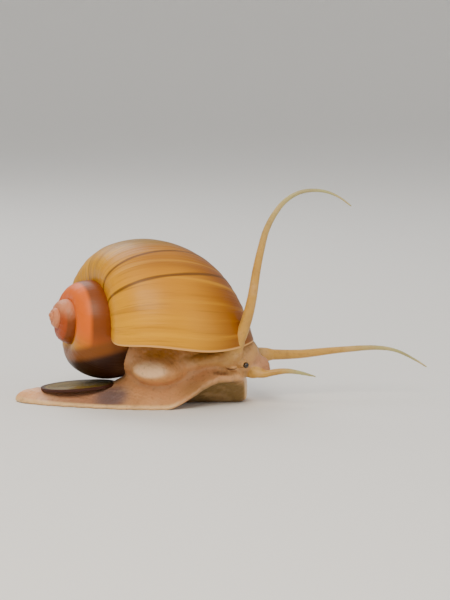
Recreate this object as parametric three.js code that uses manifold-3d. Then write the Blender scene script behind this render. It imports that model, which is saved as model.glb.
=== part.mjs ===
// A golden apple snail, crawling, as a life-size model.
// Lengths are in millimetres and angles in degrees. X runs forward to the head, Y to the animal's left
// and Z up from the floor, with the origin on the floor under the middle of the sole.
import * as THREE from "three";
import { mergeVertices } from "three/addons/utils/BufferGeometryUtils.js";
import Module from "manifold-3d";

// Space between two nodes that meet.
const GAP = 0.3;

// Shell: a tube wound round an axis that runs from the apex forward into the body whorl.
// Turns count back from the lip. A whole turn divides the tube's reach from the axis by GROWTH_OUT
// and its depth along the axis from the apex by GROWTH_DOWN.
const APEX = [-27.5, -4.5, 24.4];
const AXIS_DIP = 8.4;
const AXIS_SWING = 21.2;
const GROWTH_OUT = 2.195;
const GROWTH_DOWN = 2.297;
const SHELL_TURNS = 3.27;
const WALL = 1.2;

// Section of the tube at the lip: its reach from the axis and its depth from the apex.
const PERIPHERY_RADIUS = 29.1;
const PERIPHERY_DEPTH = 33;
const SHOULDER_DEPTH = 13.1;
const BASE_DEPTH = 54.1;
const TUBE_RADIUS_MIDDLE = 17.5;
const UMBILICUS_RADIUS = 1.7;
const SHOULDER_POWER = 1.92;
const BASE_POWER = 1.88;

// Lip: how far it is rolled round the axis, and, in radians of turn, how far it lies back in the middle
// and at the base and reaches forward at the suture. The growth lines behind it take less of this.
const LIP_ROLL = 3.4;
const LIP_BACK = 0.02;
const LIP_BASE_BACK = 0.14;
const LIP_SUTURE_FORWARD = 0.12;
const LIP_SUTURE_POWER = 4;
const RECESS_TURN = 0.27;
const RECESS_END_WALL = 0.03;
const LIP_CLEARANCE = 0.012;

// Mantle edge: the soft rim that lines the shell's mouth, between two turns behind the lip.
const MANTLE_THICK = 1.4;
const MANTLE_FROM = 0.016;
const MANTLE_TO = 0.055;

// Foot: half its width, the height of its back, its margins, and the lift of its front right part.
const FOOT_TAIL_X = -37.1;
const FOOT_FRONT_X = 26.6;
const FOOT_HALF_WIDTH = [
  [-37, 0.6],
  [-35.2, 3],
  [-30.5, 6],
  [-20, 10],
  [-8, 13.2],
  [0, 14],
  [10, 13.4],
  [18, 11.6],
  [23, 10],
  [25.5, 8],
  [27, 3],
];
const FOOT_BACK = [
  [-37, 1.6],
  [-35, 3],
  [-33, 3.5],
  [-30, 3.9],
  [-26, 4.1],
  [-20, 4.3],
  [-14, 4.8],
  [-10.5, 5.4],
  [-8, 6.6],
  [-4, 8],
  [8, 9.4],
  [18, 9],
  [24, 8.6],
  [27, 7.5],
];
const MARGIN = 1.5;
const FRONT_MARGIN = 2.3;
const CROWN_POWER = 1.5;
const TOP_ROUND = 0.6;
const SIDE_ROUND = 1.2;
const FRONT_ROUND = 3.2;
const LIFT = 7;
const LIFT_FROM_X = 4;
const LIFT_RUN = 16;
const LIFT_FROM_Y = -1;
const LIFT_ACROSS = 8;

// Body above the foot, each form with the width over which it runs into the rest:
// the stalk that goes up into the shell, the shoulder beside it, the neck, its side fold and the head,
// the snout, and the root of each tentacle.
const SNOUT_TIP = [29.6, -2.4, 10.3];
const BODY_FORMS = [
  { centre: [3, -1, 15.5], reach: [14.5, 9.5, 9.5], blend: 3 },
  { centre: [2, -8.6, 10], reach: [6.6, 5.1, 3.5], blend: 3.4 },
  { from: [8, -1, 13.5], to: [20, -2, 13], radii: [7.5, 6], blend: 2.5 },
  { from: [10.5, -8.8, 12], to: [22.5, -8.4, 14.2], radii: [1.5, 1.9], blend: 1.5 },
  { centre: [23.2, -1.6, 13.2], reach: [6.4, 6.4, 5.4], blend: 2 },
  { from: [24.5, -2, 11.6], to: SNOUT_TIP, radii: [4, 2.7], blend: 1.5 },
  { from: [20.5, -7, 12.8], to: [23, -9, 15], radii: [2.6, 2], blend: 1.2 },
  { from: [25.5, 2.5, 12.2], to: [29.4, 4.2, 12.2], radii: [2.3, 1.7], blend: 1.2 },
];

// Mouth: an upright slit just below the snout's tip.
const MOUTH_HALF = [1.6, 0.35, 1.7];
const MOUTH_FROM_TIP = [2.6, -0.2, -0.9];

// Eyes: a small dark ball on the outer side of a short stalk, at the foot of each tentacle.
const EYE_RADIUS = 0.8;
const EYE_RIGHT = [25.9, -9.6, 11.6];
const EYE_LEFT = [25.6, 6.8, 12.6];

// Operculum: a thin oval lid of horn that lies on the tail's back, its front end a little higher.
const OPERCULUM_CENTRE = [-19.8, -0.5, 4.4];
const OPERCULUM_HALF = [10.2, 7.4];
const OPERCULUM_THICK = 0.8;
const OPERCULUM_SLOPE = 4;

// Feelers: long tentacles, short lip palps, eye stalks and the siphon. Each is a line through points,
// with its radii at even shares of the line and the shares at which its nodes begin and end.
const FEELERS = {
  tentacle_right: {
    points: [
      [19.5, -7, 12.4],
      [22, -9.3, 15.2],
      [24, -10.4, 18.6],
      [26, -10.4, 23.9],
      [27.4, -10.2, 29.5],
      [28.7, -10, 37.5],
      [29.9, -10, 43.2],
      [31.2, -10, 48],
      [33.4, -10, 52.4],
      [36.3, -10, 56],
      [40, -10, 58.2],
      [43.9, -10, 58.8],
      [47.6, -10, 58.3],
      [50.9, -10, 56.8],
      [53.7, -10, 54.7],
    ],
    radii: [2.1, 1.75, 1.5, 1.3, 1.15, 1, 0.85, 0.7, 0.55, 0.4, 0.25],
    nodes: { base: [0.03, 0.268], lower: [0.272, 0.518], upper: [0.522, 0.768], tip: [0.772, 1] },
    sides: 10,
  },
  tentacle_left: {
    points: [
      [26.5, 3, 12.2],
      [29.4, 4.2, 12.2],
      [40.5, 6, 12.1],
      [51.3, 8, 12.9],
      [62.1, 9, 13.4],
      [67.5, 9.5, 12.5],
      [72.5, 9.5, 10.1],
      [75.8, 9, 8.1],
    ],
    radii: [1.75, 1.55, 1.35, 1.2, 1.05, 0.9, 0.8, 0.65, 0.5, 0.4, 0.25],
    nodes: { base: [0.02, 0.357], middle: [0.363, 0.697], tip: [0.703, 1] },
    sides: 10,
  },
  palp_right: {
    points: [
      [26.5, -3.6, 9.4],
      [28.6, -5.2, 8.8],
      [30.6, -5.8, 8.5],
      [33.8, -6, 9.1],
      [37, -6, 9.4],
      [40.6, -6, 8.9],
      [44.6, -6, 7.9],
    ],
    radii: [1.9, 1.3, 0.95, 0.9, 0.75, 0.6, 0.45, 0.25],
    nodes: { whole: [0.05, 1] },
    sides: 8,
  },
  palp_left: {
    points: [
      [26.8, -0.6, 9.4],
      [28.6, 1.6, 8.9],
      [29.4, 5.2, 8.5],
      [29, 10, 8],
      [28, 15, 7.1],
      [26.8, 19.5, 6],
    ],
    radii: [1.8, 1.2, 0.95, 0.85, 0.7, 0.55, 0.4, 0.25],
    nodes: { whole: [0.05, 1] },
    sides: 8,
  },
  eye_stalk_right: {
    points: [[23.4, -6.6, 12], [24.6, -8, 11.8], [25.7, -9.3, 11.6]],
    radii: [1.7, 1.5, 1.2, 0.9],
    nodes: { whole: [0, 1] },
    sides: 10,
  },
  eye_stalk_left: {
    points: [[23.6, 3.6, 13], [24.6, 5.2, 12.8], [25.4, 6.5, 12.6]],
    radii: [1.7, 1.5, 1.2, 0.9],
    nodes: { whole: [0, 1] },
    sides: 10,
  },
  siphon: {
    points: [[11, 6.5, 12], [13.5, 9.5, 12.2], [16, 11.2, 13], [18, 12, 14.4]],
    radii: [2.6, 2.3, 2.1, 2.2],
    nodes: { whole: [0, 1] },
    sides: 10,
  },
};

// Where the one soft body is parted into nodes: along a fold between foot and upper body, as [x, z],
// and across at these places.
const FOLD_LINE = [
  [-16, 8.4],
  [-9, 9.4],
  [-6, 11.6],
  [11, 11.6],
  [16.5, 10.1],
  [23, 9.2],
  [26.5, 7.4],
  [36, 6.4],
];
const TAIL_END_X = -11;
const FOOT_MIDDLE_END_X = 12;
const HEAD_BACK_X = 17.5;
const SNOUT_BACK_X = 26.3;

// Fineness: corners of each section, rings along it, and the cells in which the flesh's skin is found.
const SECTION_SIDES = 30;
const RINGS_A_TURN = 24;
const SECTION_STEP = 0.02;
const TUBE_STEP = 2.6;
const OPERCULUM_SIDES = 28;
const BALL_SIDES = 12;
const CELL = [1.9, 1.9, 1];
const FLESH_LOW = [-39, -18, -2.5];
const FLESH_HIGH = [34, 18, 28];
const FAR = 60;
const WELD = 0.004;

const TURN = 2 * Math.PI;
const radians = THREE.MathUtils.degToRad;
const vec = (x, y, z) => new THREE.Vector3(x, y, z);

const wasm = await Module();
wasm.setup();

// Solids: a closed three.js geometry as a manifold, and back again.
function solidOf(geometry) {
  geometry.deleteAttribute("normal");
  geometry.deleteAttribute("uv");
  const merged = mergeVertices(geometry, 1e-4);
  const mesh = new wasm.Mesh({
    numProp: 3,
    vertProperties: new Float32Array(merged.attributes.position.array),
    triVerts: new Uint32Array(merged.index.array),
    tolerance: WELD,
  });
  return new wasm.Manifold(mesh);
}

function geometryOf(solid) {
  const mesh = solid.getMesh();
  const corners = new Float32Array(mesh.numVert * 3);
  for (let i = 0; i < mesh.numVert; i++) {
    const start = i * mesh.numProp;
    corners.set(mesh.vertProperties.subarray(start, start + 3), i * 3);
  }
  const geometry = new THREE.BufferGeometry();
  geometry.setAttribute("position", new THREE.BufferAttribute(corners, 3));
  geometry.setIndex(new THREE.BufferAttribute(mesh.triVerts, 1));
  return geometry.toNonIndexed();
}

const join = (pieces) => pieces.reduce((whole, piece) => whole.add(piece));

const largest = (solid) =>
  solid.decompose().reduce((most, body) => (body.volume() > most.volume() ? body : most));

const block = (low, high) => {
  const geometry = new THREE.BoxGeometry(...high.map((value, i) => value - low[i]));
  geometry.translate(...high.map((value, i) => (value + low[i]) / 2));
  return solidOf(geometry);
};

const ball = (centre, reach) => {
  const geometry = new THREE.SphereGeometry(1, BALL_SIDES, (BALL_SIDES * 2) / 3);
  geometry.scale(...reach);
  geometry.translate(...centre);
  return solidOf(geometry);
};

// Closed skin over rings of equal count, with a fan over each end. Seen along the line from the first
// ring to the last, each ring's corners run clockwise.
function loft(rings) {
  const count = rings[0].length;
  const points = rings.flat();
  const middle = (ring) => ring.reduce((sum, p) => sum.add(p), vec(0, 0, 0)).divideScalar(count);
  const first = points.push(middle(rings[0])) - 1;
  const last = points.push(middle(rings.at(-1))) - 1;
  const end = (rings.length - 1) * count;
  const faces = [];
  for (let j = 0; j < count; j++) {
    const next = (j + 1) % count;
    faces.push(first, next, j);
    faces.push(last, end + j, end + next);
    for (let i = 0; i < rings.length - 1; i++) {
      const a = i * count;
      const b = a + count;
      faces.push(a + j, a + next, b + next);
      faces.push(a + j, b + next, b + j);
    }
  }
  const geometry = new THREE.BufferGeometry().setFromPoints(points);
  geometry.setIndex(faces);
  return solidOf(geometry);
}

// Smooth curve of a value over X through a few stations, each [x, value].
function through(stations) {
  const last = stations.length - 1;
  const slope = (i) => {
    const before = stations[Math.max(i - 1, 0)];
    const after = stations[Math.min(i + 1, last)];
    return (after[1] - before[1]) / (after[0] - before[0]);
  };
  return (place) => {
    const x = Math.min(Math.max(place, stations[0][0]), stations[last][0]);
    const i = Math.min(Math.max(stations.findIndex((s) => s[0] > x) - 1, 0), last - 1);
    const from = x < stations[last][0] ? i : last - 1;
    const span = stations[from + 1][0] - stations[from][0];
    const t = (x - stations[from][0]) / span;
    const [a, b] = [stations[from][1], stations[from + 1][1]];
    const [m, n] = [slope(from) * span, slope(from + 1) * span];
    const startShare = 2 * t ** 3 - 3 * t ** 2 + 1;
    const startSlope = t ** 3 - 2 * t ** 2 + t;
    const endSlope = t ** 3 - t ** 2;
    return startShare * a + startSlope * m + (1 - startShare) * b + endSlope * n;
  };
}

// Shell.
const apex = vec(...APEX);
const axis = vec(
  Math.cos(radians(AXIS_DIP)) * Math.cos(radians(AXIS_SWING)),
  Math.cos(radians(AXIS_DIP)) * Math.sin(radians(AXIS_SWING)),
  -Math.sin(radians(AXIS_DIP)),
);
const towardNear = vec(0, -1, 0).addScaledVector(axis, axis.y).normalize();
const towardTop = towardNear.clone().cross(axis);
const lipward = towardNear.clone().applyAxisAngle(axis, radians(LIP_ROLL));
const topward = towardTop.clone().applyAxisAngle(axis, radians(LIP_ROLL));

// One point of the tube's section at lip size.
function sectionPoint(angle) {
  const bend = (value, power) => Math.sign(value) * Math.abs(value) ** (2 / power);
  const across = Math.cos(angle);
  const along = Math.sin(angle);
  const power = along > 0 ? BASE_POWER : SHOULDER_POWER;
  const outer = PERIPHERY_RADIUS - TUBE_RADIUS_MIDDLE;
  const inner = TUBE_RADIUS_MIDDLE - UMBILICUS_RADIUS;
  const drop = along > 0 ? BASE_DEPTH - PERIPHERY_DEPTH : PERIPHERY_DEPTH - SHOULDER_DEPTH;
  return {
    radius: TUBE_RADIUS_MIDDLE + (across > 0 ? outer * bend(across, power) : inner * across),
    depth: PERIPHERY_DEPTH + drop * bend(along, power),
  };
}

// How far back round the axis a growth line lies at a depth, in radians.
function growthLine(turn, depth) {
  const low = Math.max(0, (depth - PERIPHERY_DEPTH) / (BASE_DEPTH - PERIPHERY_DEPTH));
  const high = Math.max(0, (PERIPHERY_DEPTH - depth) / (PERIPHERY_DEPTH - SHOULDER_DEPTH));
  const bow = LIP_BACK + LIP_BASE_BACK * low ** 2 - LIP_SUTURE_FORWARD * high ** LIP_SUTURE_POWER;
  return turn * TURN + bow * Math.exp(-Math.max(turn, 0) * TURN);
}

function shellRing(turn, grow) {
  const ring = [];
  for (let i = 0; i < SECTION_SIDES; i++) {
    const angle = (TURN * i) / SECTION_SIDES;
    const { radius, depth } = sectionPoint(angle);
    const before = sectionPoint(angle - SECTION_STEP);
    const after = sectionPoint(angle + SECTION_STEP);
    const normal = new THREE.Vector2(after.depth - before.depth, before.radius - after.radius).normalize();
    const back = growthLine(turn, depth);
    const out = radius * GROWTH_OUT ** (-back / TURN) + grow * normal.x;
    const down = depth * GROWTH_DOWN ** (-back / TURN) + grow * normal.y;
    const corner = apex
      .clone()
      .addScaledVector(axis, down)
      .addScaledVector(lipward, out * Math.cos(back))
      .addScaledVector(topward, out * Math.sin(back));
    ring.push(corner);
  }
  return ring;
}

function shellTube(from, to, grow) {
  const steps = Math.ceil((to - from) * RINGS_A_TURN);
  const rings = [];
  for (let i = 0; i <= steps; i++) {
    rings.push(shellRing(from + ((to - from) * i) / steps, grow));
  }
  return loft(rings);
}

// The last part of the tube is hollow behind its lip, and the whorls before it are joined on.
function shellSolid(grow, lip) {
  const overrun = 0.02;
  const span = 0.5;
  const mouth = shellTube(lip, RECESS_TURN, grow);
  const hollow = shellTube(lip - overrun, RECESS_TURN - RECESS_END_WALL, -WALL - grow);
  const wound = [];
  for (let from = RECESS_TURN; from < SHELL_TURNS; from += span) {
    wound.push(shellTube(from, Math.min(from + span, SHELL_TURNS), grow));
  }
  return largest(join([mouth.subtract(hollow), ...wound]));
}

const shell = shellSolid(0, 0);
const shellWithGap = shellSolid(GAP, -LIP_CLEARANCE);

// Mantle edge, as a band of the tube inside the shell's wall.
function mantleRim(grow) {
  const from = MANTLE_FROM - grow / 100;
  const to = MANTLE_TO + grow / 100;
  const outside = grow - WALL - GAP;
  const inside = -WALL - GAP - MANTLE_THICK - grow;
  const opening = shellTube(from - MANTLE_TO, to + MANTLE_TO, inside);
  return shellTube(from, to, outside).subtract(opening);
}

// Distances to the flesh's rounded forms, negative inside, and the soft join of one form to the next.
const softMin = (a, b, blend) => {
  const share = Math.max(blend - Math.abs(a - b), 0) / blend;
  return Math.min(a, b) - (share * share * blend) / 4;
};
const softMax = (a, b, blend) => -softMin(-a, -b, blend);
const ramp = (value) => {
  const t = Math.min(1, Math.max(0, value));
  return t * t * (3 - 2 * t);
};

function ellipsoidDistance(point, { centre, reach }) {
  const off = point.map((value, i) => value - centre[i]);
  const near = Math.hypot(...off.map((value, i) => value / reach[i]));
  const far = Math.hypot(...off.map((value, i) => value / reach[i] ** 2));
  return far > 0 ? (near * (near - 1)) / far : -Math.min(...reach);
}

function taperDistance(point, { from, to, radii }) {
  const run = to.map((value, i) => value - from[i]);
  const off = point.map((value, i) => value - from[i]);
  const dot = run[0] * off[0] + run[1] * off[1] + run[2] * off[2];
  const share = Math.min(1, Math.max(0, dot / (run[0] ** 2 + run[1] ** 2 + run[2] ** 2)));
  const gap = Math.hypot(...off.map((value, i) => value - share * run[i]));
  return gap - radii[0] - share * (radii[1] - radii[0]);
}

const footHalfWidth = through(FOOT_HALF_WIDTH);
const footBack = through(FOOT_BACK);

function footDistance([x, y, z]) {
  const step = 0.3;
  const width = footHalfWidth(x);
  const slope = (footHalfWidth(x + step) - footHalfWidth(x - step)) / (2 * step);
  const front = ramp((x - LIFT_FROM_X) / LIFT_RUN);
  const lift = LIFT * front * ramp((LIFT_FROM_Y - y) / LIFT_ACROSS);
  const margin = MARGIN + (FRONT_MARGIN - MARGIN) * front;
  const share = Math.min(1, Math.abs(y) / width);
  const crown = Math.cos((Math.PI / 2) * share) ** CROWN_POWER;
  const top = lift + margin + (footBack(x) - margin) * crown;
  const slab = softMax(0.85 * (z - top), lift - z, TOP_ROUND);
  const side = (Math.abs(y) - width) / Math.hypot(1, slope);
  const edged = softMax(slab, Math.max(side, FOOT_TAIL_X - x), SIDE_ROUND);
  return softMax(edged, x - FOOT_FRONT_X, FRONT_ROUND);
}

function fleshDistance(point) {
  let distance = footDistance(point);
  for (const form of BODY_FORMS) {
    const formDistance = form.centre ? ellipsoidDistance(point, form) : taperDistance(point, form);
    distance = softMin(distance, formDistance, form.blend);
  }
  return distance;
}

// Faces of a closed form from its distance: one corner in each cell that the surface crosses, at the
// middle of the crossings on the cell's edges, and one face across each crossed edge.
const cells = CELL.map((cell, i) => Math.ceil((FLESH_HIGH[i] - FLESH_LOW[i]) / cell) + 1);
const cellIndex = ([i, j, k]) => (k * cells[1] + j) * cells[0] + i;
const cellPlace = (cell) => cell.map((n, i) => FLESH_LOW[i] + n * CELL[i]);

function eachCell(start, end, visit) {
  for (let k = start; k < cells[2] - end; k++) {
    for (let j = start; j < cells[1] - end; j++) {
      for (let i = start; i < cells[0] - end; i++) {
        visit([i, j, k]);
      }
    }
  }
}

const stepped = (cell, direction, steps) => {
  const next = [...cell];
  next[direction % 3] += steps;
  return next;
};

function cellCorner(field, cell) {
  const sum = vec(0, 0, 0);
  let crossings = 0;
  for (let edge = 0; edge < 12; edge++) {
    const along = edge >> 2;
    const start = stepped(stepped(cell, along + 1, edge & 1), along + 2, (edge >> 1) & 1);
    const a = field[cellIndex(start)];
    const b = field[cellIndex(stepped(start, along, 1))];
    if (a < 0 !== b < 0) {
      sum.add(vec(...stepped(start, along, a / (a - b))));
      crossings++;
    }
  }
  return crossings > 0 ? vec(...cellPlace(sum.divideScalar(crossings).toArray())) : null;
}

function skinOf(grow) {
  const field = new Float64Array(cells[0] * cells[1] * cells[2]);
  eachCell(0, 0, (cell) => {
    field[cellIndex(cell)] = fleshDistance(cellPlace(cell)) - grow;
  });
  const corner = new Int32Array(field.length);
  const points = [];
  eachCell(0, 1, (cell) => {
    const point = cellCorner(field, cell);
    if (point) {
      corner[cellIndex(cell)] = points.push(point) - 1;
    }
  });
  const around = [[0, 0], [-1, 0], [-1, -1], [0, -1]];
  const faces = [];
  eachCell(1, 1, (cell) => {
    for (let along = 0; along < 3; along++) {
      const inside = field[cellIndex(cell)] < 0;
      if (inside === field[cellIndex(stepped(cell, along, 1))] < 0) {
        continue;
      }
      const ring = around.map(([p, q]) => {
        return corner[cellIndex(stepped(stepped(cell, along + 1, p), along + 2, q))];
      });
      const [a, b, c, d] = inside ? ring : ring.reverse();
      faces.push(a, b, c);
      faces.push(a, c, d);
    }
  });
  const geometry = new THREE.BufferGeometry().setFromPoints(points);
  geometry.setIndex(faces);
  return solidOf(geometry);
}

// Operculum.
function lid(grow) {
  const outline = new THREE.Shape();
  outline.absellipse(0, 0, OPERCULUM_HALF[0] + grow, OPERCULUM_HALF[1] + grow, 0, TURN, false, 0);
  const geometry = new THREE.ExtrudeGeometry(outline, {
    depth: OPERCULUM_THICK + 2 * grow,
    bevelEnabled: false,
    curveSegments: OPERCULUM_SIDES,
  });
  geometry.translate(0, 0, -grow - OPERCULUM_THICK / 2);
  geometry.rotateY(-radians(OPERCULUM_SLOPE));
  geometry.translate(...OPERCULUM_CENTRE);
  return solidOf(geometry);
}

// Round tube along a smooth line through chosen points, with its radius at even shares of the line.
function feelerTube({ points, radii, sides }, from, to) {
  const framesInAll = 400;
  const line = new THREE.CatmullRomCurve3(points.map((p) => vec(...p)), false, "centripetal");
  const steps = Math.max(3, Math.round(((to - from) * line.getLength()) / TUBE_STEP));
  const radiusAt = through(radii.map((radius, i) => [i / (radii.length - 1), radius]));
  const frames = line.computeFrenetFrames(framesInAll);
  const rings = [];
  for (let i = 0; i <= steps; i++) {
    const share = from + ((to - from) * i) / steps;
    const frame = Math.round(share * framesInAll);
    const radius = radiusAt(share);
    const ring = [];
    for (let j = 0; j < sides; j++) {
      const angle = (TURN * j) / sides;
      const corner = line
        .getPointAt(share)
        .addScaledVector(frames.normals[frame], radius * Math.cos(angle))
        .addScaledVector(frames.binormals[frame], radius * Math.sin(angle));
      ring.push(corner);
    }
    rings.push(ring);
  }
  return loft(rings);
}

// Soft body: made whole, cleared of what it meets, then parted by thin sheets where its named parts meet.
const aboveFloor = block([-FAR, -FAR, 0], [FAR, FAR, FAR]);
const mouthAt = SNOUT_TIP.map((value, i) => value + MOUTH_FROM_TIP[i]);
const eyeBall = (centre, grow) => ball(centre, [1, 1, 1].map(() => EYE_RADIUS + grow));
const eyesWithGap = [eyeBall(EYE_RIGHT, GAP), eyeBall(EYE_LEFT, GAP)];
const meets = [shellWithGap, mantleRim(GAP), lid(GAP), ball(mouthAt, MOUTH_HALF), ...eyesWithGap];
const body = skinOf(0).intersect(aboveFloor).subtract(join(meets));

function foldSheet() {
  const upper = FOLD_LINE.map(([x, z]) => new THREE.Vector2(x, z + GAP / 2));
  const lower = FOLD_LINE.map(([x, z]) => new THREE.Vector2(x, z - GAP / 2)).reverse();
  const outline = new THREE.Shape([...upper, ...lower]);
  const geometry = new THREE.ExtrudeGeometry(outline, { depth: 2 * FAR, bevelEnabled: false });
  geometry.rotateX(Math.PI / 2);
  geometry.translate(0, FAR, 0);
  return solidOf(geometry);
}

const crossSheet = (x) => block([x - GAP / 2, -FAR, -FAR], [x + GAP / 2, FAR, FAR]);

// The largest few bodies of a solid, in order of their place along X (0) or Z (2).
function bodiesOf(solid, count, side) {
  const place = (piece) => piece.boundingBox().min[side] + piece.boundingBox().max[side];
  const bySize = solid.decompose().sort((a, b) => b.volume() - a.volume());
  return bySize.slice(0, count).sort((a, b) => place(a) - place(b));
}

const [footWhole, upperWhole] = bodiesOf(body.subtract(foldSheet()), 2, 2);
const footSheets = join([crossSheet(TAIL_END_X), crossSheet(FOOT_MIDDLE_END_X)]);
const upperSheets = join([crossSheet(HEAD_BACK_X), crossSheet(SNOUT_BACK_X)]);
const footParts = bodiesOf(footWhole.subtract(footSheets), 3, 0);
const upperParts = bodiesOf(upperWhole.subtract(upperSheets), 3, 0);

// Nodes.
const part = new THREE.Group();

function add(name, solid, colour, roughness) {
  const material = new THREE.MeshStandardMaterial({ color: colour, roughness, metalness: 0 });
  const mesh = new THREE.Mesh(geometryOf(largest(solid)), material);
  mesh.name = name;
  part.add(mesh);
}

add("shell", shell, 0xd9a018, 0.35);
["foot_tail", "foot_middle", "foot_front"].forEach((name, i) => add(name, footParts[i], 0xc8966c, 0.5));
["body_stalk", "head", "snout"].forEach((name, i) => add(name, upperParts[i], 0xb98a5c, 0.5));
add("mantle_edge", mantleRim(0).subtract(shellWithGap), 0xd8b070, 0.5);
add("operculum", lid(0).subtract(shellWithGap), 0x6b5020, 0.4);

const cleared = join([skinOf(GAP), shellWithGap, ...eyesWithGap]);
for (const [name, feeler] of Object.entries(FEELERS)) {
  for (const [length, [from, to]] of Object.entries(feeler.nodes)) {
    const nodeName = length === "whole" ? name : `${name}_${length}`;
    add(nodeName, feelerTube(feeler, from, to).subtract(cleared), 0xc8a050, 0.45);
  }
}
add("eye_right", eyeBall(EYE_RIGHT, 0), 0x1c120a, 0.15);
add("eye_left", eyeBall(EYE_LEFT, 0), 0x1c120a, 0.15);

export default part;
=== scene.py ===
import math

import bpy
import numpy as np
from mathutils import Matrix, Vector


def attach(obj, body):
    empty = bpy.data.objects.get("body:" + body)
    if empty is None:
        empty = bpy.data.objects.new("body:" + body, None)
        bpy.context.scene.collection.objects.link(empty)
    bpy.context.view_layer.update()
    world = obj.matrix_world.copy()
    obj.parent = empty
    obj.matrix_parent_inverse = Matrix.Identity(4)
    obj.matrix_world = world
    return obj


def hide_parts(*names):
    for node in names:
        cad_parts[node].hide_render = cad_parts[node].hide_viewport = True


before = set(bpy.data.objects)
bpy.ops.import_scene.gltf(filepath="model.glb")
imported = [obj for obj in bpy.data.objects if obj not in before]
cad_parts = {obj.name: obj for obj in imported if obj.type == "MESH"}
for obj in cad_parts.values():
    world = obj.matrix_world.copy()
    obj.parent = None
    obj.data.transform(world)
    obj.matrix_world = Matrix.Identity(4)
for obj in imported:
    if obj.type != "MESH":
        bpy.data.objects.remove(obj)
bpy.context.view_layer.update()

# Camera: the snail is looked at from its right side, a little from above, with a long lens.
# Its distance is what puts the whole snail, feelers and all, across the picture as it should stand.
MM = 0.001
CAMERA_RISE = math.radians(8)
CAMERA_DISTANCE = 675 * MM
LENS_MM = 150
LOOK_AT = Vector((20.25, -4, 28.5)) * MM

lens = bpy.data.cameras.new("camera")
lens.lens = LENS_MM
lens.sensor_fit = "VERTICAL"
lens.sensor_height = 36
lens.clip_start = 0.02
camera = bpy.data.objects.new("camera", lens)
camera.location = LOOK_AT + CAMERA_DISTANCE * Vector((0, -math.cos(CAMERA_RISE), math.sin(CAMERA_RISE)))
camera.rotation_euler = (math.pi / 2 - CAMERA_RISE, 0, 0)
bpy.context.scene.collection.objects.link(camera)
bpy.context.scene.camera = camera

# Floor: matt pale card, laid flat under the snail and bent up all round in a smooth curve,
# so that no edge shows behind it.
TWO_PI = 2 * math.pi
FLOOR_RADIUS = 1.1
CURVE_RADIUS = 0.7
CURVE_STEPS = 12
WALL_TOP = 1.7
FLAT_RADIUS = 0.3
FLOOR_SIDES = 72


def linear(hex_colour):
    """An sRGB hex colour as the linear values that a shader takes."""
    channels = [int(hex_colour[i : i + 2], 16) / 255 for i in (1, 3, 5)]
    return [c / 12.92 if c <= 0.04045 else ((c + 0.055) / 1.055) ** 2.4 for c in channels] + [1.0]


def new_material(name, **sockets):
    """A material, its node tree and its principled shader, with values set on the shader's own sockets."""
    material = bpy.data.materials.new(name)
    material.use_nodes = True
    shader = material.node_tree.nodes["Principled BSDF"]
    for socket, value in sockets.items():
        shader.inputs[socket.replace("_", " ")].default_value = value
    return material, material.node_tree, shader


def mesh_object(name, points, faces, material):
    """A smooth-shaded object at the origin, from points in metres and the corners of each face."""
    mesh = bpy.data.meshes.new(name)
    mesh.from_pydata([tuple(p) for p in points], [], [tuple(f) for f in faces])
    mesh.validate()
    mesh.materials.append(material)
    mesh.polygons.foreach_set("use_smooth", [True] * len(mesh.polygons))
    thing = bpy.data.objects.new(name, mesh)
    bpy.context.scene.collection.objects.link(thing)
    return thing


def turned(profile, sides):
    """Points and faces of a profile of (radius, height) pairs turned round the upright axis."""
    points = [(0.0, 0.0, profile[0][1])]
    for radius, height in profile[1:]:
        for j in range(sides):
            spin = TWO_PI * j / sides
            points.append((radius * math.cos(spin), radius * math.sin(spin), height))
    faces = [(0, 1 + j, 1 + (j + 1) % sides) for j in range(sides)]
    for i in range(len(profile) - 2):
        a, b = 1 + i * sides, 1 + (i + 1) * sides
        faces += [(a + j, b + j, b + (j + 1) % sides, a + (j + 1) % sides) for j in range(sides)]
    return points, faces


card = new_material("matt_card", Base_Color=linear("#EAE8E4"), Roughness=0.9)[0]
floor_profile = [(0.0, 0.0), (FLAT_RADIUS, 0.0), (FLOOR_RADIUS, 0.0)]
for step in range(1, CURVE_STEPS + 1):
    lean = math.pi / 2 * step / CURVE_STEPS
    floor_profile.append((FLOOR_RADIUS + CURVE_RADIUS * math.sin(lean), CURVE_RADIUS * (1 - math.cos(lean))))
floor_profile.append((FLOOR_RADIUS + CURVE_RADIUS, WALL_TOP))
floor = mesh_object("floor", *turned(floor_profile, FLOOR_SIDES), card)

# Light: one large soft box above and in front, a weak one towards the head and a soft one behind,
# in a pale room.
SOFT_BOXES = (
    ("key", (-0.10, -0.40, 0.46), 0.34, 2.9, "#FFF4E2"),
    ("head_side", (0.46, -0.34, 0.26), 0.34, 0.5, "#F4F7FF"),
    ("back", (-0.20, 0.36, 0.42), 0.34, 1.4, "#FFFFFF"),
)
room = bpy.data.worlds.new("pale_room")
room.use_nodes = True
room.node_tree.nodes["Background"].inputs["Color"].default_value = linear("#F2F3F5")
room.node_tree.nodes["Background"].inputs["Strength"].default_value = 0.85
bpy.context.scene.world = room
for name, place, width, watts, tint in SOFT_BOXES:
    box = bpy.data.lights.new(name, "AREA")
    box.size = width
    box.energy = watts
    box.color = linear(tint)[:3]
    lamp = bpy.data.objects.new(name, box)
    lamp.location = place
    lamp.rotation_euler = (Vector((0, 0, 0.02)) - lamp.location).to_track_quat("-Z", "Y").to_euler()
    bpy.context.scene.collection.objects.link(lamp)

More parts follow.
